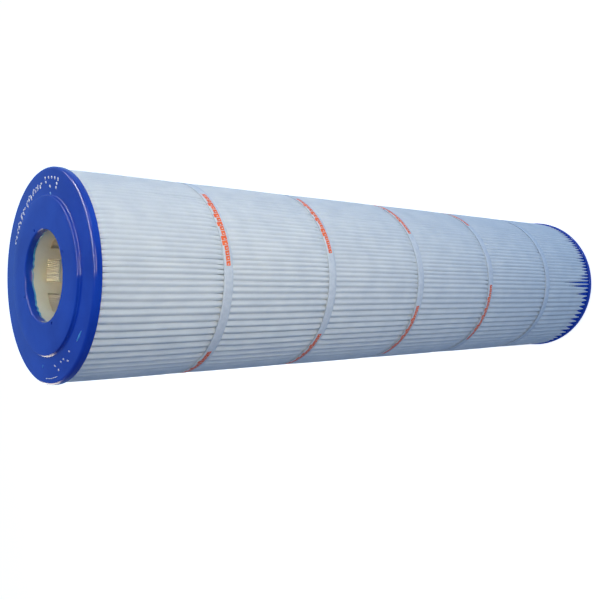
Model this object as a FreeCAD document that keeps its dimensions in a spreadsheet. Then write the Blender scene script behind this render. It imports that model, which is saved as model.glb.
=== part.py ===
"""Filter cartridge for pools and spas: a pleated fabric pack on a lattice core, cast into two end caps.

The cartridge stands on its bottom cap.  The origin is the centre of that cap's lowest face, +Z runs up
the bore, and all sizes are millimetres.  The bore is open from end to end.
"""
import FreeCAD, Part
import math
import os

import Sketcher

Vector = FreeCAD.Vector

os.makedirs("parts", exist_ok=True)
doc = FreeCAD.newDocument("filter_cartridge")
sheet = doc.addObject("Spreadsheet::Sheet", "sizes")

SIZES = {
    # whole cartridge
    "overall_length": 742.0,
    "cap_diameter": 178.0,
    # end caps, the same casting at both ends
    "flange_thickness": 6.6,
    "boss_diameter": 131.0,
    "boss_height": 2.5,
    "bore_diameter": 76.0,
    "lip_depth": 7.0,
    "flange_edge_radius": 2.5,
    "flange_back_radius": 0.8,
    "boss_edge_radius": 0.8,
    "boss_root_radius": 1.2,
    "bore_edge_radius": 1.2,
    "pin_mark_count": 4,
    "pin_mark_diameter": 2.5,
    "pin_mark_depth": 1.2,
    "pin_mark_inset": 4.0,
    "pin_mark_turn": 25.0,
    # core sections
    "core_sections": 5,
    "lip_cover": 0.6,
    "core_wall": 4.0,
    "core_seat_clearance": 0.1,
    "window_columns": 8,
    "window_width": 20.0,
    "window_height": 12.25,
    "window_turn": -8.5,
    "rib_height": 5.9,
    "spigot_length": 6.0,
    "spigot_margin": 6.0,
    "spigot_wall": 2.0,
    "spigot_clearance": 0.1,
    # pleated media
    "pleat_count": 120,
    "pleat_inset": 1.8,
    "media_thickness": 0.6,
    "media_core_gap": 0.4,
    "tip_gap": 0.46,
    "root_gap": 0.6,
    "potting_depth": 4.0,
    # bead that closes the folded sheet into a ring
    "seam_depth": 14.0,
    "seam_tip_gap": 6.0,
    "seam_clearance": 0.02,
    # bands
    "band_count": 5,
    "band_width": 9.5,
    "band_thickness": 0.5,
    "band_clearance": 0.05,
    "top_band_gap": 113.8,
    "bottom_band_gap": 107.3,
    "band_2_raise": 5.5,
    "band_3_raise": 1.7,
}

for row, (alias, value) in enumerate(SIZES.items(), start=1):
    sheet.set(f"A{row}", alias.replace("_", " "))
    sheet.set(f"B{row}", str(value))
    sheet.setAlias(f"B{row}", alias)
doc.recompute()


def size(alias):
    """Value of one cell of the sheet."""
    return float(sheet.get(alias))


# Formulas that several pieces share, written in terms of the sheet's cells.
CAP_HEIGHT = "(sizes.flange_thickness + sizes.boss_height)"
BOSS_ROOT_RADIUS = "min(sizes.boss_root_radius; 0.6 * sizes.boss_height)"
BOSS_EDGE_RADIUS = "min(sizes.boss_edge_radius; 0.35 * sizes.boss_height)"
CORE_INNER = "(sizes.bore_diameter / 2 + sizes.lip_cover)"
CORE_OUTER = f"({CORE_INNER} + sizes.core_wall)"
SECTION_LENGTH = "((sizes.overall_length - 2 * sizes.lip_depth) / sizes.core_sections)"
WINDOW_PITCH = "(sizes.window_height + sizes.rib_height)"
LEAST_RING = "(sizes.spigot_length + sizes.spigot_margin)"
WINDOW_ROWS = (f"floor(({SECTION_LENGTH} - 2 * {LEAST_RING} + sizes.rib_height)"
               f" / {WINDOW_PITCH})")
END_RING = f"(({SECTION_LENGTH} - {WINDOW_ROWS} * {WINDOW_PITCH} + sizes.rib_height) / 2)"
PLEAT_TIP = "(sizes.cap_diameter / 2 - sizes.pleat_inset)"
BAND_INNER = f"({PLEAT_TIP} + sizes.band_clearance)"
BAND_PITCH = (f"((sizes.overall_length - 2 * {CAP_HEIGHT} - sizes.top_band_gap - sizes.bottom_band_gap)"
              " / (sizes.band_count - 1))")


def solve(formula):
    """Number that a formula of the sheet's cells gives."""
    value = sheet.evalExpression(formula)
    return float(getattr(value, "Value", value))


def origin_part(body, role):
    """Plane or axis of a body's own origin, such as XY_Plane."""
    return next(part for part in body.Origin.OriginFeatures if part.Role == role)


def new_body(label):
    body = doc.addObject("PartDesign::Body", label)
    body.Label = label
    return body


def bind(target, name, formula):
    """Sets a property from a formula and keeps it bound to the sheet."""
    target.setExpression(name, formula)


def new_sketch(body, name, role):
    sketch = body.newObject("Sketcher::SketchObject", name)
    sketch.AttachmentSupport = [(origin_part(body, role), "")]
    sketch.MapMode = "FlatFace"
    return sketch


def hold(sketch, kind, geometry, point, formula):
    """Holds one coordinate of a point of the sketch at a formula's value, measured from the origin."""
    value = solve(formula)
    if abs(value) < 1e-9:
        axis = -2 if kind == "DistanceX" else -1
        sketch.addConstraint(Sketcher.Constraint("PointOnObject", geometry, point, axis))
        return
    index = sketch.addConstraint(Sketcher.Constraint(kind, -1, 1, geometry, point, value))
    sketch.setExpression(f"Constraints[{index}]", formula)


def outline(sketch, corners):
    """Closed outline of straight edges through corners, each a pair of formulas."""
    points = [Vector(solve(across), solve(along), 0) for across, along in corners]
    count = len(points)
    for index in range(count):
        sketch.addGeometry(Part.LineSegment(points[index], points[(index + 1) % count]), False)
    for index in range(count):
        sketch.addConstraint(Sketcher.Constraint("Coincident", index, 2, (index + 1) % count, 1))
    for index, (across, along) in enumerate(corners):
        hold(sketch, "DistanceX", index, 1, across)
        hold(sketch, "DistanceY", index, 1, along)


def circle(sketch, radius, across="0", along="0"):
    """Circle of a formula's radius about a point given by two formulas."""
    centre = Vector(solve(across), solve(along), 0)
    index = sketch.addGeometry(Part.Circle(centre, Vector(0, 0, 1), solve(radius)), False)
    ring = sketch.addConstraint(Sketcher.Constraint("Radius", index, solve(radius)))
    sketch.setExpression(f"Constraints[{ring}]", radius)
    hold(sketch, "DistanceX", index, 3, across)
    hold(sketch, "DistanceY", index, 3, along)


def revolve(body, sketch, name):
    turned = body.newObject("PartDesign::Revolution", name)
    turned.Profile = sketch
    turned.ReferenceAxis = (origin_part(body, "Z_Axis"), [""])
    turned.Angle = 360.0
    return turned


def pad(body, sketch, name, length):
    raised = body.newObject("PartDesign::Pad", name)
    raised.Profile = sketch
    bind(raised, "Length", length)
    return raised


def round_edges(body, base, name, radius, wanted):
    """Fillet on the edges of a feature that the test function picks out."""
    doc.recompute()
    names = [f"Edge{number}" for number, edge in enumerate(base.Shape.Edges, start=1) if wanted(edge)]
    fillet = body.newObject("PartDesign::Fillet", name)
    fillet.Base = (base, names)
    bind(fillet, "Radius", radius)
    return fillet


def full_circle(radius, height):
    """Test for a circular edge of a given radius about the axis at a given height."""
    def wanted(edge):
        curve = edge.Curve
        return (isinstance(curve, Part.Circle) and abs(curve.Radius - radius) < 1e-4
                and abs(curve.Center.z - height) < 1e-4)
    return wanted


# ---------------------------------------------------------------------------------------------------
# Pleated media: one sheet folded to and fro, as long as the gap between the caps plus its potted ends.

HALF_STEP = math.pi / size("pleat_count")
HALF_THICK = size("media_thickness") / 2


def outer_fold():
    """Radius of the sheet's middle round an outer fold, and how far out its centre stands."""
    reach = solve(PLEAT_TIP) - HALF_THICK
    radius = ((reach * math.sin(HALF_STEP) - HALF_THICK - size("tip_gap") / 2)
              / (1 + math.sin(HALF_STEP)))
    return radius, reach - radius


def inner_fold():
    """The same for an inner fold, which stands a little clear of the core."""
    reach = solve(CORE_OUTER) + size("media_core_gap") + HALF_THICK
    radius = ((reach * math.sin(HALF_STEP) - HALF_THICK - size("root_gap") / 2)
              / (1 - math.sin(HALF_STEP)))
    return radius, reach + radius


def fold_line(outer_radius, inner_radius):
    """Closed line of one face of the folded sheet: arcs round the folds, joined by straight legs."""
    count = int(size("pleat_count"))
    outer_centre = outer_fold()[1]
    inner_centre = inner_fold()[1]

    # One pleat about +X: its leg touches the outer fold and the inner fold on opposite sides.
    crest = Vector(outer_centre, 0, 0)
    root = Vector(inner_centre * math.cos(HALF_STEP), inner_centre * math.sin(HALF_STEP), 0)
    along = root - crest
    lean = math.asin((outer_radius + inner_radius) / along.Length)
    heading = math.atan2(along.y, along.x)
    normal_angle = heading - (math.pi / 2 - lean)
    normal = Vector(math.cos(normal_angle), math.sin(normal_angle), 0)
    leg_top = crest + normal * outer_radius
    leg_foot = root - normal * inner_radius
    tip = Vector(outer_centre + outer_radius, 0, 0)
    dip_radius = inner_centre - inner_radius
    dip = Vector(dip_radius * math.cos(HALF_STEP), dip_radius * math.sin(HALF_STEP), 0)

    def turned(point, angle):
        return Vector(point.x * math.cos(angle) - point.y * math.sin(angle),
                      point.x * math.sin(angle) + point.y * math.cos(angle), 0)

    def mirrored(point):
        return Vector(point.x, -point.y, 0)

    edges = []
    for pleat in range(count):
        angle = 2 * HALF_STEP * pleat
        following = angle + 2 * HALF_STEP
        left_top = turned(mirrored(leg_top), angle)
        right_top = turned(leg_top, angle)
        left_foot = turned(leg_foot, angle)
        right_foot = turned(mirrored(leg_foot), following)
        edges.append(Part.Arc(left_top, turned(tip, angle), right_top).toShape())
        edges.append(Part.LineSegment(right_top, left_foot).toShape())
        edges.append(Part.Arc(left_foot, turned(dip, angle), right_foot).toShape())
        edges.append(Part.LineSegment(right_foot, turned(mirrored(leg_top), following)).toShape())
    return Part.Wire(edges)


def make_media():
    crest_radius = outer_fold()[0]
    root_radius = inner_fold()[0]
    outside = fold_line(crest_radius + HALF_THICK, root_radius - HALF_THICK)
    inside = fold_line(crest_radius - HALF_THICK, root_radius + HALF_THICK)
    section = Part.makeFace([outside, inside], "Part::FaceMakerBullseye")
    length = size("overall_length") - 2 * solve(CAP_HEIGHT) + 2 * size("potting_depth")
    media = doc.addObject("Part::Feature", "pleated_media")
    media.Label = "pleated_media"
    media.Shape = section.extrude(Vector(0, 0, length))
    media.Placement = FreeCAD.Placement(
        Vector(0, 0, solve(CAP_HEIGHT) - size("potting_depth")), FreeCAD.Rotation(Vector(0, 0, 1), 180))
    return media


media = make_media()


# ---------------------------------------------------------------------------------------------------
# Seam bead: hot-melt adhesive in the valley between two pleats, where the sheet's two ends lap.

def make_seam():
    crest_radius, crest_centre = outer_fold()
    root_radius, root_reach = inner_fold()
    valley_at_root = root_radius - HALF_THICK
    valley_at_crest = crest_centre * math.sin(HALF_STEP) - crest_radius - HALF_THICK
    crest_reach = crest_centre * math.cos(HALF_STEP)
    outer_end = solve(PLEAT_TIP) - size("seam_tip_gap")
    inner_end = outer_end - size("seam_depth")

    def half_width(reach):
        share = (reach - root_reach) / (crest_reach - root_reach)
        return valley_at_root + share * (valley_at_crest - valley_at_root) - size("seam_clearance")

    corners = [Vector(inner_end, half_width(inner_end), 0), Vector(outer_end, half_width(outer_end), 0),
               Vector(outer_end, -half_width(outer_end), 0), Vector(inner_end, -half_width(inner_end), 0)]
    section = Part.Face(Part.makePolygon(corners + corners[:1]))
    length = size("overall_length") - 2 * solve(CAP_HEIGHT)
    seam = doc.addObject("Part::Feature", "media_seam")
    seam.Label = "media_seam"
    seam.Shape = section.extrude(Vector(0, 0, length))
    valley = math.degrees(HALF_STEP)
    seam.Placement = FreeCAD.Placement(
        Vector(0, 0, solve(CAP_HEIGHT)), FreeCAD.Rotation(Vector(0, 0, 1), 180 + valley))
    return seam


seam = make_seam()


# ---------------------------------------------------------------------------------------------------
# End caps: cast on the pack, so each is cut by the media that stands in it.  Height 0 of the casting
# is the flange's inner face, and its boss points along +Z.

def make_cap(label, at_top):
    body = new_body(f"{label}_casting")
    seat = f"({CORE_OUTER} + sizes.core_seat_clearance)"
    seat_depth = f"({CAP_HEIGHT} - sizes.lip_depth)"
    rim = "sizes.cap_diameter / 2"
    boss = "sizes.boss_diameter / 2"
    bore = "sizes.bore_diameter / 2"
    profile = new_sketch(body, f"{label}_profile", "XZ_Plane")
    outline(profile, [
        (seat, "0"), (rim, "0"), (rim, "sizes.flange_thickness"), (boss, "sizes.flange_thickness"),
        (boss, CAP_HEIGHT), (bore, CAP_HEIGHT), (bore, seat_depth), (seat, seat_depth)])
    casting = revolve(body, profile, f"{label}_turned")

    rim_at = full_circle(solve(rim), solve("sizes.flange_thickness"))
    rounded = round_edges(body, casting, f"{label}_rim", "sizes.flange_edge_radius", rim_at)
    back_at = full_circle(solve(rim), 0)
    rounded = round_edges(body, rounded, f"{label}_back", "sizes.flange_back_radius", back_at)
    root_at = full_circle(solve(boss), solve("sizes.flange_thickness"))
    rounded = round_edges(body, rounded, f"{label}_root", BOSS_ROOT_RADIUS, root_at)
    edge_at = full_circle(solve(boss), solve(CAP_HEIGHT))
    rounded = round_edges(body, rounded, f"{label}_edge", BOSS_EDGE_RADIUS, edge_at)
    lip_at = full_circle(solve(bore), solve(CAP_HEIGHT))
    rounded = round_edges(body, rounded, f"{label}_lip", "sizes.bore_edge_radius", lip_at)
    doc.recompute()

    # Marks left by the mould's locating pins.
    marks = new_sketch(body, f"{label}_pin_marks", "XY_Plane")
    bind(marks, "AttachmentOffset.Base.z", CAP_HEIGHT)
    circle(marks, "sizes.pin_mark_diameter / 2",
           "(sizes.bore_diameter / 2 + sizes.pin_mark_inset) * cos(sizes.pin_mark_turn * 1 deg)",
           "(sizes.bore_diameter / 2 + sizes.pin_mark_inset) * sin(sizes.pin_mark_turn * 1 deg)")
    mark = body.newObject("PartDesign::Pocket", f"{label}_pin_mark")
    mark.Profile = marks
    bind(mark, "Length", "sizes.pin_mark_depth")
    around = body.newObject("PartDesign::PolarPattern", f"{label}_pin_mark_ring")
    around.Originals = [mark]
    around.Axis = (origin_part(body, "Z_Axis"), [""])
    around.Angle = 360.0
    bind(around, "Occurrences", "sizes.pin_mark_count")
    body.Tip = around

    if at_top:
        bind(body, "Placement.Base.z", f"sizes.overall_length - {CAP_HEIGHT}")
    else:
        bind(body, "Placement.Base.z", CAP_HEIGHT)
        body.Placement.Rotation = FreeCAD.Rotation(Vector(1, 0, 0), 180)

    cap = doc.addObject("Part::Cut", label)
    cap.Label = label
    cap.Base = body
    cap.Tool = media
    return cap


top_cap = make_cap("top_end_cap", True)
bottom_cap = make_cap("bottom_end_cap", False)


# ---------------------------------------------------------------------------------------------------
# Core: moulded lattice sections stacked by spigot and socket, section 1 at the top.

def make_core_section(number):
    label = f"core_section_{number}"
    body = new_body(label)
    inner = CORE_INNER
    step = f"({inner} + sizes.spigot_wall)"
    socket = f"({step} + sizes.spigot_clearance)"
    socket_floor = f"({SECTION_LENGTH} - sizes.spigot_length - sizes.spigot_clearance)"
    first = number == 1
    last = number == int(size("core_sections"))

    top = [(inner, SECTION_LENGTH), (CORE_OUTER, SECTION_LENGTH)]
    if not first:
        top = [(inner, socket_floor), (socket, socket_floor), (socket, SECTION_LENGTH),
               (CORE_OUTER, SECTION_LENGTH)]
    foot = [(CORE_OUTER, "0"), (inner, "0")]
    if not last:
        foot = [(CORE_OUTER, "0"), (step, "0"), (step, "-sizes.spigot_length"),
                (inner, "-sizes.spigot_length")]
    profile = new_sketch(body, f"{label}_profile", "XZ_Plane")
    outline(profile, top + foot)
    revolve(body, profile, f"{label}_turned")
    doc.recompute()

    window = new_sketch(body, f"{label}_window", "XZ_Plane")
    left, right = "-sizes.window_width / 2", "sizes.window_width / 2"
    low, high = END_RING, f"({END_RING} + sizes.window_height)"
    outline(window, [(left, low), (right, low), (right, high), (left, high)])
    opening = body.newObject("PartDesign::Pocket", f"{label}_opening")
    opening.Profile = window
    opening.Type = "ThroughAll"
    upward = body.newObject("PartDesign::LinearPattern", f"{label}_rows")
    upward.Direction = (origin_part(body, "Z_Axis"), [""])
    bind(upward, "Length", f"({WINDOW_ROWS} - 1) * {WINDOW_PITCH}")
    bind(upward, "Occurrences", WINDOW_ROWS)
    around = body.newObject("PartDesign::PolarPattern", f"{label}_columns")
    around.Axis = (origin_part(body, "Z_Axis"), [""])
    around.Angle = 360.0
    bind(around, "Occurrences", "sizes.window_columns")
    lattice = body.newObject("PartDesign::MultiTransform", f"{label}_lattice")
    lattice.Originals = [opening]
    lattice.Transformations = [upward, around]
    body.Tip = lattice

    below = f"(sizes.core_sections - {number})"
    bind(body, "Placement.Base.z", f"sizes.lip_depth + {below} * {SECTION_LENGTH}")
    body.Placement.Rotation = FreeCAD.Rotation(Vector(0, 0, 1), size("window_turn"))
    return body


core = [make_core_section(number) for number in range(1, int(size("core_sections")) + 1)]


# ---------------------------------------------------------------------------------------------------
# Bands: flat strips welded into rings round the pleat tips, band 1 at the top.

def make_band(number):
    label = f"band_{number}"
    body = new_body(label)
    ring = new_sketch(body, f"{label}_ring", "XY_Plane")
    circle(ring, BAND_INNER)
    circle(ring, f"({BAND_INNER} + sizes.band_thickness)")
    pad(body, ring, f"{label}_strip", "sizes.band_width")
    middle = f"sizes.overall_length - {CAP_HEIGHT} - sizes.top_band_gap - {number - 1} * {BAND_PITCH}"
    if f"band_{number}_raise" in SIZES:
        middle = f"{middle} + sizes.band_{number}_raise"
    bind(body, "Placement.Base.z", f"{middle} - sizes.band_width / 2")
    return body


bands = [make_band(number) for number in range(1, int(size("band_count")) + 1)]


# ---------------------------------------------------------------------------------------------------
# Checks and files

doc.recompute()
for item in doc.Objects:
    if "Invalid" in item.State or "Error" in item.State:
        raise RuntimeError(f"{item.Name} did not build: {item.State}")

for piece in [top_cap, bottom_cap, media, seam] + core + bands:
    shape = piece.Shape
    if shape.isNull() or not shape.isValid() or len(shape.Solids) != 1:
        raise RuntimeError(f"{piece.Label} is not one valid solid")
    shape.exportStep(f"parts/{piece.Label}.step")
    print(f"{piece.Label}: {shape.Volume:.0f} cubic mm, {len(shape.Faces)} faces,"
          f" height {shape.BoundBox.ZMin:.2f} to {shape.BoundBox.ZMax:.2f}")
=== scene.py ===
import math
import random

import bmesh
import bpy
import numpy as np
from mathutils import Matrix, Vector


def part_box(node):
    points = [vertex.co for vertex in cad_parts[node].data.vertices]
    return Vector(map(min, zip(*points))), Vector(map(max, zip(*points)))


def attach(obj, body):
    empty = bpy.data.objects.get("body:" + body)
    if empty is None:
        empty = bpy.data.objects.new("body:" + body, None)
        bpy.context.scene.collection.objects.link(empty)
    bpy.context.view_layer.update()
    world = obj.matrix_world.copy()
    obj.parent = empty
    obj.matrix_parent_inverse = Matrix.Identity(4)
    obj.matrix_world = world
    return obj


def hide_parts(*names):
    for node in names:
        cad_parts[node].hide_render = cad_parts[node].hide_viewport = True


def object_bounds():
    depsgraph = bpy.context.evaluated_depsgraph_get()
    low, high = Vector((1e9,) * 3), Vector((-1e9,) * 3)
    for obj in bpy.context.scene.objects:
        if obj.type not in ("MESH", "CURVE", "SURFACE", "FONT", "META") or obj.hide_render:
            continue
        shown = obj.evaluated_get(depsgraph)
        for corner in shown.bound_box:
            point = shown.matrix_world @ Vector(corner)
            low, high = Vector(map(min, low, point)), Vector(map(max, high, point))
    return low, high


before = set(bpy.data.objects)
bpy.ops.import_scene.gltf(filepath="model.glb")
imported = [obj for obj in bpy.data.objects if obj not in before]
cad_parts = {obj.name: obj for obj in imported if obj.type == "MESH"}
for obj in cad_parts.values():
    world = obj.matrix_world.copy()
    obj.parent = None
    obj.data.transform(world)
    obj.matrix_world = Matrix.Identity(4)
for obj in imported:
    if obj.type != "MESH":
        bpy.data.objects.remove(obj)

cad_low, cad_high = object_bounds()


# ---------------------------------------------------------------------------------------------------
# Core sections: a cream lattice tube injection-moulded in five lengths, each plugged into the next by
# a thin spigot. Windows in rows of eight let the filtered water into the bore.

core_count = 5
core_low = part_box(f"core_section_{core_count}")[0].z
core_length = (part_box("core_section_1")[1].z - core_low) / core_count
core_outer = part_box("core_section_1")[1].y
core_wall = 0.004
core_clearance = 0.0001
core_inner = core_outer - core_wall
core_step = core_inner + core_wall / 2
core_socket = core_step + core_clearance
core_plug = 0.006
core_columns = 8
core_window_turn = 53.5
core_window_arc = 30.0
core_window_height = 0.01225
core_rib = 0.0059
core_rows = 7
core_window_parts = 10
core_web_parts = 4


def around(radius, angle, height):
    """Point on the cartridge at an angle in degrees, turning from +Y towards +X."""
    turn = math.radians(angle)
    return Vector((radius * math.sin(turn), radius * math.cos(turn), height))


def new_finish(name):
    """New material: itself, its nodes and links, its shader and the object-space coordinate."""
    material = bpy.data.materials.new(name)
    material.use_nodes = True
    nodes, links = material.node_tree.nodes, material.node_tree.links
    place = nodes.new("ShaderNodeTexCoord").outputs["Object"]
    return material, nodes, links, nodes["Principled BSDF"], place


def cloud(nodes, links, place, scale, detail=2.0):
    """Noise in object space."""
    noise = nodes.new("ShaderNodeTexNoise")
    noise.inputs["Scale"].default_value = scale
    noise.inputs["Detail"].default_value = detail
    links.new(place, noise.inputs["Vector"])
    return noise.outputs["Fac"]


def tinted(nodes, links, factor, dark, pale, start=0.32, end=0.70):
    """Colour that runs from dark to pale as the factor runs from start to end."""
    ramp = nodes.new("ShaderNodeValToRGB")
    for element, position, colour in zip(ramp.color_ramp.elements, (start, end), (dark, pale)):
        element.position = position
        element.color = (*colour, 1)
    links.new(factor, ramp.inputs["Fac"])
    return ramp.outputs["Color"]


def roughened(nodes, links, height, shader, strength, distance):
    """Bump on the shader from a height."""
    bump = nodes.new("ShaderNodeBump")
    bump.inputs["Strength"].default_value = strength
    bump.inputs["Distance"].default_value = distance
    links.new(height, bump.inputs["Height"])
    links.new(bump.outputs["Normal"], shader.inputs["Normal"])


def add_piece(data, body_slot, *cad_nodes):
    """Object for a mesh, riding on the one body in place of its CAD nodes."""
    piece = bpy.data.objects.new(data.name, data)
    bpy.context.scene.collection.objects.link(piece)
    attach(piece, "root")
    for node in cad_nodes:
        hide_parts(node)
    return piece


def core_plastic():
    """Cream polypropylene: soft gloss, faint flow marks and a little light through the wall."""
    material, nodes, links, shader, place = new_finish("core_plastic")
    flow = cloud(nodes, links, place, 38.0, 5.0)
    colour = tinted(nodes, links, flow, (0.50, 0.54, 0.50), (0.61, 0.64, 0.59))
    links.new(colour, shader.inputs["Base Color"])
    roughened(nodes, links, cloud(nodes, links, place, 900.0), shader, 0.12, 0.0002)
    shader.inputs["Roughness"].default_value = 0.42
    shader.inputs["Subsurface Weight"].default_value = 0.15
    shader.inputs["Subsurface Scale"].default_value = 0.004
    return material


def core_section(number, low, high, finish):
    """Lattice tube between two heights; the lower end has a spigot and the upper end a socket."""
    ends = (high - low - core_rows * core_window_height - (core_rows - 1) * core_rib) / 2
    rows = []
    if number < core_count:
        rows += [(low - core_plug, core_inner, core_step), (low, core_inner, core_step)]
    rows.append((low, core_inner, core_outer))
    height = low + ends
    for _ in range(core_rows):
        rows += [(height, core_inner, core_outer), (height + core_window_height, core_inner, core_outer)]
        height += core_window_height + core_rib
    first_window = len(rows) - 2 * core_rows
    if number > 1:
        rows += [(high - core_plug, core_inner, core_outer), (high - core_plug, core_socket, core_outer)]
        rows.append((high, core_socket, core_outer))
    else:
        rows.append((high, core_inner, core_outer))

    turns, open_step = [], []
    web_arc = 360 / core_columns - core_window_arc
    for column in range(core_columns):
        start = core_window_turn + column * 360 / core_columns - core_window_arc / 2
        turns += [start + core_window_arc * step / core_window_parts for step in range(core_window_parts)]
        turns += [start + core_window_arc + web_arc * step / core_web_parts for step in range(core_web_parts)]
        open_step += [True] * core_window_parts + [False] * core_web_parts

    mesh = bmesh.new()
    inner = [[mesh.verts.new(around(row[1], turn, row[0])) for turn in turns] for row in rows]
    outer = [[mesh.verts.new(around(row[2], turn, row[0])) for turn in turns] for row in rows]
    around_count = len(turns)

    def solid(row, step):
        if row < 0 or row >= len(rows) - 1:
            return False
        in_window = 0 <= row - first_window < 2 * core_rows and (row - first_window) % 2 == 0
        return not (in_window and open_step[step % around_count])

    for row in range(len(rows)):
        for step in range(around_count):
            ahead = (step + 1) % around_count
            low_in, low_in_ahead = inner[row][step], inner[row][ahead]
            low_out, low_out_ahead = outer[row][step], outer[row][ahead]
            if solid(row, step):
                high_in, high_in_ahead = inner[row + 1][step], inner[row + 1][ahead]
                high_out, high_out_ahead = outer[row + 1][step], outer[row + 1][ahead]
                mesh.faces.new((low_in, low_in_ahead, high_in_ahead, high_in))
                mesh.faces.new((low_out_ahead, low_out, high_out, high_out_ahead))
                if not solid(row, step - 1):
                    mesh.faces.new((low_out, low_in, high_in, high_out))
                if not solid(row, step + 1):
                    mesh.faces.new((low_in_ahead, low_out_ahead, high_out_ahead, high_in_ahead))
            if solid(row, step) != solid(row - 1, step):
                mesh.faces.new((low_out, low_out_ahead, low_in_ahead, low_in))
    bmesh.ops.remove_doubles(mesh, verts=mesh.verts, dist=1e-6)
    bmesh.ops.dissolve_degenerate(mesh, edges=mesh.edges, dist=1e-6)
    bmesh.ops.recalc_face_normals(mesh, faces=mesh.faces)
    data = bpy.data.meshes.new(f"core_lattice_{number}")
    mesh.to_mesh(data)
    mesh.free()
    data.materials.append(finish)
    data.shade_smooth()
    piece = add_piece(data, "core", f"core_section_{number}")
    soften = piece.modifiers.new("moulded_edges", "BEVEL")
    soften.width = 0.0005
    soften.segments = 2
    soften.limit_method = "ANGLE"
    soften.angle_limit = math.radians(40)


core_finish = core_plastic()
for number in range(1, core_count + 1):
    section_low = core_low + (core_count - number) * core_length
    core_section(number, section_low, section_low + core_length, core_finish)


# ---------------------------------------------------------------------------------------------------
# Pleated media: one sheet of white spunbond polyester folded into 120 deep pleats and bent into a
# ring, crowded on one side and spread on the other. The caps pinch its ends flat, and the bands press
# on the round tips of the pleats.

bottom_cap_low, bottom_cap_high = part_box("bottom_end_cap")
top_cap_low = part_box("top_end_cap")[0]
pack_low, pack_high = bottom_cap_high.z, top_cap_low.z
media_low, media_high = (corner.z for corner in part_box("pleated_media"))
band_centres = [sum(corner.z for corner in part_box(f"band_{number}")) / 2 for number in range(1, 6)]
band_half_width = 0.00475
pleat_count = 120
pleat_tip = 0.0872
pleat_root = 0.0433
pleat_bulge = 0.0008
pleat_gap = (0.00003, 0.00010)
pleat_depth = (0.00050, 0.0020)
pleat_lean = 0.0003
pleat_pressed = (-60.0, 104.0)
pleat_easing = 40.0
pleat_edge = 0.0005
pleat_shoulder = 0.0015
pleat_closed = 0.00003
pleat_tip_parts = (-1.0, -0.7, -0.36, 0.0, 0.36, 0.7, 1.0)
pleat_root_rise = 0.0011
pleat_root_width = 0.0008
bulge_from_band = 0.006
bulge_from_cap = 0.012
rows_above_bottom = (0.001, 0.0035, 0.007, 0.011, 0.016, 0.024, 0.036, 0.055)
rows_below_top = (0.001, 0.003, 0.006, 0.012, 0.022, 0.04)
rows_beside_band = (0.0048, 0.0075, 0.012, 0.022)
rows_between_bands = (0.36, 0.5, 0.64)
seam_valley = 89
seam_turn = 268.5
spacing_turns = (-60.0, 84.0, 100.0, 140.0, 180.0, 205.0, 300.0)
spacing_steps = (2.85, 2.85, 4.0, 5.2, 4.0, 2.6, 2.6)


def spaced_valleys():
    """Angles of the valleys: the folds crowd on one side of the core and spread on the other."""
    turns = np.arange(0, 360.5, 0.5)
    steps = np.interp((turns + seam_turn + 60) % 360 - 60, spacing_turns, spacing_steps)
    passed = np.concatenate(([0], np.cumsum((1 / steps[1:] + 1 / steps[:-1]) / 4)))
    order = (np.arange(pleat_count) - seam_valley) % pleat_count
    found = np.interp(order * passed[-1] / pleat_count, passed, turns)
    return found + seam_turn - np.where(np.arange(pleat_count) < seam_valley, 360, 0)


valley_turn = spaced_valleys()
valley_span = (np.roll(valley_turn, -1) - np.roll(valley_turn, 1)) % 360 / 2
valley_room = np.radians(valley_span) * (pleat_tip - pleat_shoulder) / 2 - pleat_edge
media_draw = np.random.default_rng(11)
pinch_length = media_draw.uniform(0.010, 0.021, pleat_count)
pinch_power = media_draw.uniform(0.5, 0.95, pleat_count)
loose_ends = ((88.5, 0.062), (91.5, 0.045), (85.5, 0.026), (82.5, 0.022),
              (100.5, 0.028), (139.5, 0.026), (148.5, 0.028))
for loose_turn, loose_length in loose_ends:
    pinch_length[np.argmin(np.abs(valley_turn - loose_turn))] = loose_length


def spread(knots, amount):
    """Table of a random wander for every pleat, at evenly spaced knots along the height."""
    return media_draw.normal(0.0, amount, (pleat_count, knots))


def wander(table, share):
    """Value of each pleat's wander at a share of the height, by cosine steps between the knots."""
    place = share * (table.shape[1] - 1)
    low = min(int(place), table.shape[1] - 2)
    blend = (1 - math.cos(math.pi * (place - low))) / 2
    return table[:, low] * (1 - blend) + table[:, low + 1] * blend


def looseness(turns):
    """0 where the folds lie pressed together and 1 where they stand free, by angle in degrees."""
    middle, half = sum(pleat_pressed) / 2, (pleat_pressed[1] - pleat_pressed[0]) / 2
    beyond = np.abs((turns - middle + 180) % 360 - 180) - half
    return np.clip(beyond / pleat_easing + 0.5, 0, 1)


def pinched(gap, rise):
    """Half-widths of the valleys at a rise above the bottom cap, where the resin draws the pleats thin."""
    closing = np.clip(1 - max(rise, 0) / pinch_length, 0, 1) ** pinch_power
    return gap + closing * (valley_room - gap)


def media_heights():
    """Heights of the sheet's rows: close together at the bands and the caps, wider between."""
    heights = [media_low, pack_low - 0.001, pack_high + 0.001, media_high]
    heights += [pack_low + step for step in rows_above_bottom]
    heights += [pack_high - step for step in rows_below_top]
    for centre in band_centres:
        heights += [centre + side * step for side in (-1, 1) for step in rows_beside_band]
        heights.append(centre)
    stations = [pack_high] + band_centres + [pack_low]
    for above, below in zip(stations, stations[1:]):
        heights += [below + (above - below) * share for share in rows_between_bands]
    return sorted(heights)


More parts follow.
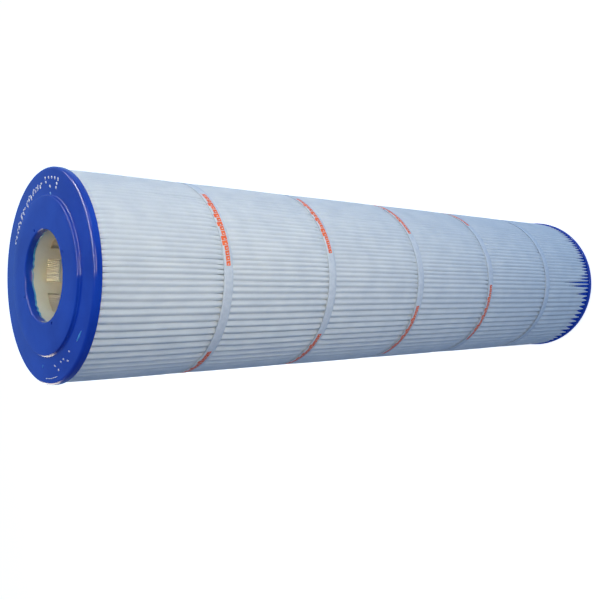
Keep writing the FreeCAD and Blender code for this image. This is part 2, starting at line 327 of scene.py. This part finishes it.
def media_sheet():
    """One folded sheet: a rounded tip and a rounded root for each pleat, with hand-made unevenness."""
    heights = media_heights()
    drift = spread(6, 0.00010)
    shared = np.repeat(media_draw.normal(0.0, 0.00024, (pleat_count // 8, 6)), 8, axis=0)
    shared = sum(np.roll(shared, shift, 0) for shift in (0, 2, 4, 6)) / 4
    fullness = spread(8, 0.00012)
    openness = spread(8, 0.00005)
    openness[seam_valley] = 0.0005
    kink = media_draw.normal(0.0, 0.00016, (5, pleat_count))
    notch = media_draw.uniform(0.1, 1.0, (5, pleat_count))
    loose = looseness(valley_turn)
    full_depth = pleat_depth[0] + loose * (pleat_depth[1] - pleat_depth[0])
    full_gap = pleat_gap[0] + loose * (pleat_gap[1] - pleat_gap[0])
    root_side = math.degrees(pleat_root_width / pleat_root)

    points = []
    for height in heights:
        share = (height - media_low) / (media_high - media_low)
        gap = full_gap + wander(openness, share)
        sway = wander(drift, share) + wander(shared, share)
        away = min(abs(height - centre) for centre in band_centres)
        end_away = max(min(height - pack_low, pack_high - height), 0)
        off_band = 1 - math.exp(-max(away - band_half_width, 0) / bulge_from_band)
        lift = pleat_bulge * off_band * (1 - math.exp(-end_away / bulge_from_cap))
        tip = pleat_tip + wander(fullness, share) * 0.5 + lift
        for index, centre in enumerate(band_centres):
            beyond = height - centre - band_half_width
            gap = gap + 0.0005 * notch[index] * math.exp(-((beyond - 0.0015) / 0.0025) ** 2)
            sway = sway + kink[index] * math.exp(-((height - centre) / 0.012) ** 2)
        if away < band_half_width + 0.0002:
            tip = np.minimum(tip, pleat_tip)
        gap = pinched(gap, height - pack_low)
        closing_top = max(1 - max(pack_high - height, 0) / 0.004, 0)
        gap = gap + closing_top * 0.3 * (valley_room - gap)
        gap = np.clip(gap, pleat_closed, valley_room)
        sway = sway * min(1, end_away / 0.03)

        valley = valley_turn + np.degrees(sway / pleat_tip)
        for pleat in range(pleat_count):
            before, after = pleat - 1, pleat
            left = valley[before] - (360 if pleat == 0 else 0) + math.degrees(gap[before] / pleat_tip)
            right = valley[after] - math.degrees(gap[after] / pleat_tip)
            middle, half = (left + right) / 2, (right - left) / 2
            half_width = math.radians(half) * pleat_tip
            depth = min(half_width * 0.9, full_depth[pleat])
            lean = math.degrees(pleat_lean / pleat_tip) * min(half_width / (half_width + gap[after]), 1)
            for across in pleat_tip_parts:
                swell = (1 + math.cos(math.pi * across)) / 2
                reach = tip[pleat] - depth * (1 - swell)
                points.append(around(reach, middle + half * across + lean * swell, height))
            for out, side in ((pleat_root_rise, -root_side), (0.0, 0.0), (pleat_root_rise, root_side)):
                points.append(around(pleat_root + out, valley_turn[after] + side, height))

    per_row = pleat_count * (len(pleat_tip_parts) + 3)
    faces = []
    for row in range(len(heights) - 1):
        for step in range(per_row):
            ahead = (step + 1) % per_row
            base, over = row * per_row, (row + 1) * per_row
            faces.append((base + ahead, base + step, over + step, over + ahead))
    data = bpy.data.meshes.new("pleated_sheet")
    data.from_pydata(points, [], faces)
    data.shade_smooth()
    data.set_sharp_from_angle(angle=math.radians(60))
    return data


def media_fabric():
    """Spunbond polyester: matt white, a net of fine fibres, slightly cloudy, and lets light through."""
    material, nodes, links, shader, place = new_finish("media_fabric")
    cloudy = cloud(nodes, links, place, 55.0, 6.0)
    colour = tinted(nodes, links, cloudy, (0.74, 0.78, 0.83), (0.84, 0.87, 0.90), 0.30, 0.68)
    links.new(colour, shader.inputs["Base Color"])
    stretch = nodes.new("ShaderNodeMapping")
    stretch.inputs["Scale"].default_value = (1.0, 1.0, 0.35)
    links.new(place, stretch.inputs["Vector"])
    fibres = nodes.new("ShaderNodeTexVoronoi")
    fibres.feature = "DISTANCE_TO_EDGE"
    fibres.inputs["Scale"].default_value = 1100.0
    links.new(stretch.outputs["Vector"], fibres.inputs["Vector"])
    roughened(nodes, links, fibres.outputs["Distance"], shader, 0.25, 0.00015)
    shader.inputs["Roughness"].default_value = 0.85
    shader.inputs["Sheen Weight"].default_value = 0.15
    through = nodes.new("ShaderNodeBsdfTranslucent")
    through.inputs["Color"].default_value = (0.95, 0.93, 0.86, 1)
    blend = nodes.new("ShaderNodeMixShader")
    blend.inputs["Fac"].default_value = 0.20
    links.new(shader.outputs["BSDF"], blend.inputs[1])
    links.new(through.outputs["BSDF"], blend.inputs[2])
    links.new(blend.outputs["Shader"], nodes["Material Output"].inputs["Surface"])
    return material


media_data = media_sheet()
media_data.materials.append(media_fabric())
media_piece = add_piece(media_data, "media", "pleated_media")


# ---------------------------------------------------------------------------------------------------
# Seam bead: amber-white hot-melt adhesive run down one valley at the back, where the two ends of the
# sheet lap. It is carried over from the frame, lumpy in gloss where the nozzle paused.

def seam_adhesive():
    """Hot-melt adhesive: amber-white, glossy and lumpy."""
    material, nodes, links, shader, place = new_finish("seam_adhesive")
    lumps = cloud(nodes, links, place, 120.0)
    colour = tinted(nodes, links, lumps, (0.50, 0.42, 0.26), (0.72, 0.68, 0.52), 0.2, 0.8)
    links.new(colour, shader.inputs["Base Color"])
    roughened(nodes, links, lumps, shader, 0.4, 0.0004)
    shader.inputs["Roughness"].default_value = 0.3
    return material


seam_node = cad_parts["media_seam"]
seam_node.data.materials.clear()
seam_node.data.materials.append(seam_adhesive())


# ---------------------------------------------------------------------------------------------------
# Bands: thin whitish polyester strip wound once round the pleats by hand, its ends lapped and welded.
# Each is printed in orange with rows of plain slanted blocks, apart from the last, which is plain.

band_inner = 0.08725
band_thickness = 0.0005
print_period = 103.0
print_length = 50.0
print_block = 4.5
print_gap = 0.40
print_slant = -0.22
print_half_height = 2.1
print_tall_extra = 0.8
print_hole = (0.44, 0.80)
print_starts = {1: 34.0, 2: 24.0, 3: 5.0, 4: -10.5}


def band_strip_material(number, centre):
    """Pale strip; the printed ones carry rows of slanted orange blocks, each with a hole in it."""
    material, nodes, links, shader, place = new_finish(f"band_strip_{number}")

    def work(operation, first, second=None):
        node = nodes.new("ShaderNodeMath")
        node.operation = operation
        for socket, value in zip(node.inputs, (first, second)):
            if isinstance(value, (int, float)):
                socket.default_value = value
            elif value is not None:
                links.new(value, socket)
        return node.outputs["Value"]

    mottle = cloud(nodes, links, place, 260.0)
    paper = tinted(nodes, links, mottle, (0.58, 0.62, 0.68), (0.68, 0.71, 0.76), 0.3, 0.7)
    if number in print_starts:
        split = nodes.new("ShaderNodeSeparateXYZ")
        links.new(place, split.inputs["Vector"])
        turn = work("MULTIPLY", work("ARCTAN2", split.outputs["X"], split.outputs["Y"]), 180 / math.pi)
        share = work("FLOORED_MODULO", work("SUBTRACT", turn, print_starts[number]), print_period)
        along = work("MULTIPLY", share, math.radians(band_inner) * 1000)
        across = work("MULTIPLY", work("SUBTRACT", split.outputs["Z"], centre), 1000.0)
        slanted = work("ADD", along, work("MULTIPLY", across, print_slant))
        block = work("FLOOR", work("DIVIDE", slanted, print_block))
        inside = work("SUBTRACT", work("FLOORED_MODULO", slanted, print_block), print_block / 2)
        chance = work("FRACT", work("MULTIPLY", work("SINE", work("MULTIPLY", block, 12.9)), 43.7))
        chance = work("ABSOLUTE", chance)
        tall = work("MULTIPLY", work("GREATER_THAN", chance, 0.6), print_tall_extra)
        tall = work("ADD", tall, print_half_height)
        middle = work("MULTIPLY", work("SUBTRACT", tall, print_half_height), 0.9)
        reach = work("ABSOLUTE", work("SUBTRACT", across, middle))
        within = work("LESS_THAN", work("ABSOLUTE", inside), (print_block - print_gap) / 2)
        ribbon = work("MULTIPLY", work("LESS_THAN", reach, tall), within)
        side = work("DIVIDE", work("SUBTRACT", inside, work("MULTIPLY", chance, 0.9)), print_hole[0])
        rise = work("DIVIDE", work("SUBTRACT", across, work("SUBTRACT", chance, 0.6)), print_hole[1])
        holes = work("ADD", work("MULTIPLY", side, side), work("MULTIPLY", rise, rise))
        ink = work("MULTIPLY", ribbon, work("GREATER_THAN", holes, 1.0))
        ink = work("MULTIPLY", ink, work("LESS_THAN", share, print_length))
        orange = tinted(nodes, links, mottle, (0.84, 0.12, 0.030), (0.98, 0.19, 0.05), 0.3, 0.7)
        mix = nodes.new("ShaderNodeMix")
        mix.data_type = "RGBA"
        links.new(ink, mix.inputs["Factor"])
        links.new(paper, mix.inputs["A"])
        links.new(orange, mix.inputs["B"])
        paper = mix.outputs["Result"]
    links.new(paper, shader.inputs["Base Color"])
    weave = nodes.new("ShaderNodeTexWave")
    weave.bands_direction = "Z"
    weave.inputs["Scale"].default_value = 420.0
    weave.inputs["Distortion"].default_value = 0.6
    links.new(place, weave.inputs["Vector"])
    roughened(nodes, links, weave.outputs["Fac"], shader, 0.15, 0.0001)
    shader.inputs["Roughness"].default_value = 0.6
    shader.inputs["Specular IOR Level"].default_value = 0.3
    return material


def band_ring(number, centre):
    """Strip with softly rounded edges, a slight hand-wound wander, and its ends lapped at the back."""
    draw = random.Random(40 + number)
    lap_start, lap_arc = 262 + draw.uniform(-20, 20), 14
    tilt, lean = draw.uniform(0.0, 0.0005), draw.uniform(0, 360)
    edge, crown = band_half_width - 0.0002, 0.00005
    profile = [(-edge, 0.0), (-band_half_width, band_thickness / 2), (-edge, band_thickness),
               (-edge / 2, band_thickness + crown), (edge / 2, band_thickness + crown),
               (edge, band_thickness), (band_half_width, band_thickness / 2), (edge, 0.0)]
    points, faces = [], []
    steps = 360 + lap_arc
    for step in range(steps + 1):
        turn = lap_start + step
        over = max(0.0, min(1.0, (step - 357) / 3))
        wobble = tilt * math.sin(math.radians(turn + lean))
        ripple = 0.00006 * math.cos(math.radians(turn * pleat_count))
        base = band_inner + ripple + over * (band_thickness + crown)
        points += [around(base + out, turn, centre + wobble + height) for height, out in profile]
    size = len(profile)
    for step in range(steps):
        for corner in range(size):
            ahead = (corner + 1) % size
            base, over = step * size, (step + 1) * size
            faces.append((base + corner, base + ahead, over + ahead, over + corner))
    faces.append(tuple(range(size)))
    faces.append(tuple(reversed(range(steps * size, steps * size + size))))
    data = bpy.data.meshes.new(f"band_strip_{number}")
    data.from_pydata(points, [], faces)
    data.shade_smooth()
    data.materials.append(band_strip_material(number, centre))
    add_piece(data, "band", f"band_{number}")


for number, centre in enumerate(band_centres, start=1):
    band_ring(number, centre)


# ---------------------------------------------------------------------------------------------------
# End caps: blue polyurethane cast on the ends of the pack, with a raised boss and an open bore. The
# resin climbs between the pleats of the bottom end, and leaves a thin ragged flash on the core's mouth.

cap_height = pack_low - bottom_cap_low.z
cap_radius = bottom_cap_high.y
cap_flange = 0.0066
cap_boss_radius = 0.0655
cap_bore = 0.038
cap_edge = 0.0025
cap_back_edge = 0.0008
cap_boss_edge = 0.0008
cap_boss_root = 0.0012
cap_bore_edge = 0.0012
cap_lip = 0.007
cap_steps = 360
pin_mark_radius = 0.042
pin_mark_turn = 65.0
pin_mark_size = 0.00125
pin_mark_depth = 0.0012
pin_mark_taper = 0.8
pin_mark_arc = 3
mark_steps = 12
mark_rise = 0.0004
flash_points = 75
flash_depth = (-0.0002, 0.0013)
smear_width = 0.0020
smear_rise = 0.0003
smears = ((0.0785, 126.0, 0.0120, 82), (0.0745, 184.0, 0.0032, 0), (0.0672, 8.0, 0.0030, 60))
resin_finish, thin_finish, rubbed_and_glint_finish = range(3)


def cap_resin():
    """Cast polyurethane: deep blue, satin, with soft waves and a bloom of fine dust."""
    material, nodes, links, shader, place = new_finish("cap_resin")
    bloom = cloud(nodes, links, place, 24.0, 7.0)
    colour = tinted(nodes, links, bloom, (0.003, 0.037, 0.36), (0.008, 0.060, 0.47), 0.35, 0.72)
    links.new(colour, shader.inputs["Base Color"])
    gloss = nodes.new("ShaderNodeMapRange")
    gloss.inputs["To Min"].default_value = 0.11
    gloss.inputs["To Max"].default_value = 0.22
    links.new(bloom, gloss.inputs["Value"])
    links.new(gloss.outputs["Result"], shader.inputs["Roughness"])
    roughened(nodes, links, cloud(nodes, links, place, 420.0, 3.0), shader, 0.08, 0.0002)
    shader.inputs["Specular IOR Level"].default_value = 0.3
    return material


def thin_resin():
    """Where the resin runs out thin or smears, it is a lighter, more see-through blue."""
    material, nodes, links, shader, place = new_finish("thin_resin")
    streak = cloud(nodes, links, place, 160.0, 4.0)
    colour = tinted(nodes, links, streak, (0.015, 0.16, 0.50), (0.07, 0.38, 0.72))
    links.new(colour, shader.inputs["Base Color"])
    roughened(nodes, links, streak, shader, 0.2, 0.0003)
    shader.inputs["Roughness"].default_value = 0.3
    return material


def rubbed_and_glint_resin():
    """Tops of the raised marks, pale partly from rubbing in handling and partly as a painted highlight
    standing for the glints they catch.
    """
    material, nodes, links, shader, place = new_finish("rubbed_and_glint_resin")
    rub_and_glint = cloud(nodes, links, place, 700.0, 4.0)
    # The pale end of this colour is partly rubbed wear and partly a painted highlight for the glints on the
    # raised marks.
    colour = tinted(nodes, links, rub_and_glint, (0.25, 0.24, 0.50), (0.80, 0.76, 0.80), 0.34, 0.55)
    links.new(colour, shader.inputs["Base Color"])
    roughened(nodes, links, rub_and_glint, shader, 0.3, 0.0002)
    shader.inputs["Roughness"].default_value = 0.35
    return material


def cap_outline():
    """Outline from the core's seat round the inner face, rim, boss and bore, as radius and height."""
    def arc(centre_r, centre_h, radius, start, end, steps):
        turns = [math.radians(start + (end - start) * step / steps) for step in range(steps + 1)]
        return [(centre_r + radius * math.cos(turn), centre_h + radius * math.sin(turn)) for turn in turns]

    seat, rim_flat = core_outer + 0.0001, cap_radius - cap_back_edge
    line = [(seat, cap_height - cap_lip), (seat, 0.0)]
    line += [(seat + (rim_flat - seat) * share, 0.0) for share in (0.3, 0.6, 0.85)]
    line += arc(rim_flat, cap_back_edge, cap_back_edge, -90, 0, 4)
    line += arc(cap_radius - cap_edge, cap_flange - cap_edge, cap_edge, 0, 90, 8)
    line += arc(cap_boss_radius + cap_boss_root, cap_flange + cap_boss_root, cap_boss_root, 270, 180, 6)
    line += arc(cap_boss_radius - cap_boss_edge, cap_height - cap_boss_edge, cap_boss_edge, 0, 90, 5)
    line += [(0.056, cap_height), (0.046, cap_height)]
    line += [(pin_mark_radius + pin_mark_size * share, cap_height) for share in (1, 1 / 3, -1 / 3, -1)]
    line += arc(cap_bore + cap_bore_edge, cap_height - cap_bore_edge, cap_bore_edge, 90, 180, 6)
    return line


def dome(mesh, place, out, along, length, width, rise, finish):
    """Low rounded lump on a face: an ellipse of a length and a width that rises along out."""
    across = out.cross(along)
    rings = []
    for share, height in ((1.0, -0.15), (0.94, 0.45), (0.7, 0.85)):
        ring = []
        for step in range(mark_steps):
            turn = math.radians(360 / mark_steps * step)
            flat = along * (length / 2 * share * math.cos(turn))
            flat = flat + across * (width / 2 * share * math.sin(turn))
            ring.append(mesh.verts.new(place + flat + out * (rise * height)))
        rings.append(ring)
    peak = mesh.verts.new(place + out * rise)
    for ring, following in zip(rings, rings[1:]):
        for step in range(mark_steps):
            ahead = (step + 1) % mark_steps
            face = mesh.faces.new((ring[step], ring[ahead], following[ahead], following[step]))
            face.material_index = finish
    for step in range(mark_steps):
        mesh.faces.new((rings[-1][step], rings[-1][(step + 1) % mark_steps], peak)).material_index = finish
    mesh.faces.new(tuple(reversed(rings[0]))).material_index = finish


def mould_marks():
    """Raised marks cast in the flange, as radius, angle, length, width and tilt: bars, dots and an arc."""
    marks = []
    for step in range(15):
        length = (0.0062, 0.0050, 0.0028, 0.0058, 0.0040)[step % 5]
        radius = 0.0710 + 0.0038 * step / 14 + 0.0008 * (step % 2)
        marks.append((radius, -65.5 + 4.05 * step, length, 0.0024, 14 - 28 * (step % 2)))
        if step % 3 != 1:
            marks.append((radius + 0.0022, -63.9 + 4.05 * step, 0.0030, 0.0018, 80))
    for angle in (-1.0, 4.0, 8.5, 13.0, 17.5):
        marks.append((0.0800, angle, 0.0026 + 0.0008 * (angle > 10), 0.0022, 30))
    for radius, angle in ((0.0762, 16.5), (0.0728, 16.0), (0.0728, 6.5), (0.0765, 0.0)):
        marks.append((radius, angle, 0.0032, 0.0022, 55))
    for step in range(6):
        marks.append((0.0745 + 0.0045 * (step % 3 == 1), 142 + 4.6 * step, 0.0026, 0.0012, 40))
    for step in range(5):
        marks.append((0.0835, 165 + 3.2 * step, 0.0008, 0.0044, 0))
    return marks


def cap_casting(name, node, base, direction, wicked):
    """Turned casting with pin marks, raised marks and flash; direction +1 puts the boss up, -1 down."""
    draw = random.Random(7 + direction)
    mesh = bmesh.new()

    def spot(radius, angle, height):
        return around(radius, direction * angle, base + direction * height)

    rings = [[mesh.verts.new(spot(radius, step * 360 / cap_steps, height)) for step in range(cap_steps)]
             for radius, height in cap_outline()]
    ragged = [draw.uniform(*flash_depth) for _ in range(flash_points)]
    flash = []
    for step in range(cap_steps):
        place = step * len(ragged) / cap_steps
        low = int(place)
        blend = place - low
        depth = ragged[low] * (1 - blend) + ragged[(low + 1) % len(ragged)] * blend
        depth += 0.0005 * math.sin(math.radians(3 * step / cap_steps * 360 + 40))
        flash.append(cap_height - cap_lip - depth)
    lips = ((cap_bore, 0.0016), (core_inner - 0.00015, 0.0), (core_inner + 0.0001, 0.0))
    for radius, above in lips:
        rings.append([mesh.verts.new(spot(radius, step * 360 / cap_steps, flash[step] + above))
                      for step in range(cap_steps)])
    pin_row = [round(radius - pin_mark_radius - pin_mark_size, 6) for radius, _ in cap_outline()].index(0.0)
    pin_step = int(direction * pin_mark_turn - 1.5) % 90
    for index, (ring, following) in enumerate(zip(rings, rings[1:] + rings[:1])):
        thin = index in (len(rings) - 3, len(rings) - 2)
        pitted = pin_row <= index < pin_row + pin_mark_arc
        for step in range(cap_steps):
            ahead = (step + 1) % cap_steps
            if pitted and (step - pin_step) % 90 < pin_mark_arc:
                continue
            face = mesh.faces.new((ring[step], ring[ahead], following[ahead], following[step]))
            face.material_index = thin_finish if thin else resin_finish

    out = Vector((0, 0, direction))
    for quarter in range(4):
        first = pin_step + 90 * quarter
        edge = [rings[pin_row][(first + step) % cap_steps] for step in range(4)]
        edge += [rings[pin_row + row][(first + 3) % cap_steps] for row in (1, 2)]
        edge += [rings[pin_row + 3][(first + step) % cap_steps] for step in (3, 2, 1, 0)]
        edge += [rings[pin_row + row][first % cap_steps] for row in (2, 1)]
        centre = sum((vert.co for vert in edge), Vector()) / len(edge)
        floor = []
        for vert in edge:
            away = (vert.co - centre).normalized()
            vert.co = centre + away * pin_mark_size
            foot = centre + away * pin_mark_size * pin_mark_taper - out * pin_mark_depth
            floor.append(mesh.verts.new(foot))
        for corner in range(len(edge)):
            ahead = (corner + 1) % len(edge)
            mesh.faces.new((edge[corner], edge[ahead], floor[ahead], floor[corner]))
        mesh.faces.new(floor)
    # The tops of the raised marks take a pale colour that is partly rubbed wear and partly a painted
    # highlight.
    for radius, angle, length, width, tilt in mould_marks():
        place = spot(radius, angle, cap_flange)
        radial = Vector((place.x, place.y, 0)).normalized()
        along = (Matrix.Rotation(math.radians(tilt), 3, "Z") @ radial).normalized()
        dome(mesh, place, out, along, length, width, mark_rise, rubbed_and_glint_finish)
    for radius, angle, length, tilt in smears:
        place = spot(radius, angle, cap_flange)
        radial = Vector((place.x, place.y, 0)).normalized()
        along = Matrix.Rotation(math.radians(tilt), 3, "Z") @ radial
        dome(mesh, place, out, along, length, smear_width, smear_rise, thin_finish)

    if wicked:
        for valley in range(pleat_count):
            reach = pinch_length[valley] * draw.uniform(0.72, 0.9)
            turn = valley_turn[valley]
            rows = []
            for share in (-0.05, 0.0, 0.3, 0.6, 0.85, 1.0):
                rise = reach * share
                half = pinched(np.full(pleat_count, 0.0001), rise)[valley] + 0.0002 if share < 1 else 0.0001
                side = math.degrees(half / pleat_tip)
                front = pleat_tip - 0.0004 - 0.0030 * max(share, 0)
                corners = ((front, -side), (front, side), (front - 0.006, side), (front - 0.006, -side))
                rows.append([mesh.verts.new(around(radius, turn + across, base + rise))
                             for radius, across in corners])
            for row, following in zip(rows, rows[1:]):
                for corner in range(4):
                    ahead = (corner + 1) % 4
                    mesh.faces.new((row[corner], row[ahead], following[ahead], following[corner]))
            mesh.faces.new(rows[0])
            mesh.faces.new(tuple(reversed(rows[-1])))
    bmesh.ops.recalc_face_normals(mesh, faces=mesh.faces)
    data = bpy.data.meshes.new(name)
    mesh.to_mesh(data)
    mesh.free()
    for finish in cap_finishes:
        data.materials.append(finish)
    data.shade_smooth()
    data.set_sharp_from_angle(angle=math.radians(40))
    return add_piece(data, "cap", node)


cap_finishes = (cap_resin(), thin_resin(), rubbed_and_glint_resin())
cap_casting("top_cap_casting", "top_end_cap", pack_high, 1, False)
cap_casting("bottom_cap_casting", "bottom_end_cap", pack_low, -1, True)


# ---------------------------------------------------------------------------------------------------
# Studio: a pale glowing floor and room that cast nothing on the cartridge. The ambient light is blue and
# the soft lamps are warm and aimed at the near part. Small lamps light the bore and the windows from
# behind, and one long lamp gives only the thin glints on the caps' edges.

def studio_paper():
    material = bpy.data.materials.new("studio_paper")
    material.use_nodes = True
    shader = material.node_tree.nodes["Principled BSDF"]
    shader.inputs["Base Color"].default_value = (0.9, 0.9, 0.9, 1)
    shader.inputs["Roughness"].default_value = 0.9
    shader.inputs["Emission Color"].default_value = (1, 1, 1, 1)
    shader.inputs["Emission Strength"].default_value = 0.75
    return material


def studio_room():
    paper = studio_paper()
    bpy.ops.mesh.primitive_circle_add(vertices=96, radius=6.0, fill_type="NGON", location=(0, 0, -0.0003))
    floor = bpy.context.object
    floor.name = "studio_floor"
    bpy.ops.mesh.primitive_uv_sphere_add(segments=64, ring_count=32, radius=6.0)
    dome = bpy.context.object
    dome.name = "studio_dome"
    for stage_piece in (floor, dome):
        stage_piece.data.materials.append(paper)
        stage_piece.visible_diffuse = False
        stage_piece.visible_glossy = False
        stage_piece.visible_shadow = False


def studio_sky():
    """Ambient light that turns from dim grey on the -Y side to bright blue on the +Y side."""
    world = bpy.data.worlds.new("studio_sky")
    bpy.context.scene.world = world
    world.use_nodes = True
    nodes, links = world.node_tree.nodes, world.node_tree.links
    place = nodes.new("ShaderNodeTexCoord")
    split = nodes.new("ShaderNodeSeparateXYZ")
    links.new(place.outputs["Generated"], split.inputs["Vector"])
    side = nodes.new("ShaderNodeMapRange")
    side.inputs["From Min"].default_value = -1.0
    links.new(split.outputs["Y"], side.inputs["Value"])
    ramp = nodes.new("ShaderNodeValToRGB")
    ramp.color_ramp.elements[0].color = (0.12, 0.12, 0.15, 1)
    ramp.color_ramp.elements[1].color = (0.42, 0.62, 0.94, 1)
    middle = ramp.color_ramp.elements.new(0.5)
    middle.color = (0.19, 0.38, 0.69, 1)
    links.new(side.outputs["Result"], ramp.inputs["Fac"])
    links.new(ramp.outputs["Color"], nodes["Background"].inputs["Color"])
    nodes["Background"].inputs["Strength"].default_value = 1.0


def soft_light(name, place, aim, size, power, colour, along=(0, 0, 1), spread=180, glint=False):
    """Rectangular lamp, its first size along a direction; a glint lamp shows only in glossy surfaces."""
    light = bpy.data.lights.new(name, "AREA")
    light.shape = "RECTANGLE"
    light.size, light.size_y = size
    light.energy = power
    light.color = colour
    light.spread = math.radians(spread)
    lamp = bpy.data.objects.new(name, light)
    back = (Vector(place) - Vector(aim)).normalized()
    side = (Vector(along) - back * back.dot(Vector(along))).normalized()
    lamp.matrix_world = (Matrix.Translation(place)
                         @ Matrix((side, back.cross(side), back)).transposed().to_4x4())
    lamp.visible_camera = False
    lamp.visible_diffuse = not glint
    bpy.context.scene.collection.objects.link(lamp)


studio_room()
studio_sky()
warm = (1.0, 0.84, 0.50)
near_part = (0, 0, 0.52)
top_cap = (0, 0, 0.74)
soft_light("key_light", (0.45, 0.9, 1.15), near_part, (0.5, 0.5), 0.42, warm, spread=74)
soft_light("front_light", (0.98, 0.26, 0.95), near_part, (0.4, 0.4), 1.0, warm, spread=74)
soft_light("edge_light", (-1.3, 0.72, 2.08), top_cap, (1.4, 0.1), 7.0, (1.0, 0.92, 0.86),
           along=(0.33, -0.63, 0.63))
soft_light("rear_light", (-1.2, -0.8, 0.8), (0, 0, 0.4), (0.6, 0.6), 6.0, (1.0, 0.86, 0.60))
soft_light("upper_glint", (-0.34, 0.66, 2.25), top_cap, (2.1, 0.04), 60.0, (1.0, 0.97, 0.95),
           along=(0.68, -0.61, 0.41), glint=True)
soft_light("bore_light", (0, 0, 0.03), (0, 0, 0.7), (0.06, 0.06), 0.036, (0.45, 0.80, 1.0))
soft_light("bore_glow", (0.015, 0.0, 0.69), (-0.04, 0.02, 0.71), (0.02, 0.02), 0.011, (1.0, 0.60, 0.12))
soft_light("pack_glow", (-0.062, 0.0, 0.68), (0, 0, 0.68), (0.09, 0.06), 0.40, (1.0, 0.78, 0.42))
bpy.context.scene.view_settings.view_transform = "Standard"

camera_data = bpy.data.cameras.new("camera")
camera_data.lens = 44.03
camera_data.sensor_width = 36.0
camera_data.shift_y = -0.0167
camera = bpy.data.objects.new("camera", camera_data)
bpy.context.scene.collection.objects.link(camera)
flange_face = cad_high.z - cap_height + cap_flange
camera_place = Vector((0.58732, -0.01234, flange_face + 0.23873))
camera_forward = Vector((-0.75190, 0.00228, -0.65927)).normalized()
camera_right = camera_forward.cross(Vector((0.0, 1.0, 0.00346))).normalized()
camera_up = camera_right.cross(camera_forward)
camera.matrix_world = (Matrix.Translation(camera_place)
                       @ Matrix((camera_right, camera_up, -camera_forward)).transposed().to_4x4())
bpy.context.scene.camera = camera
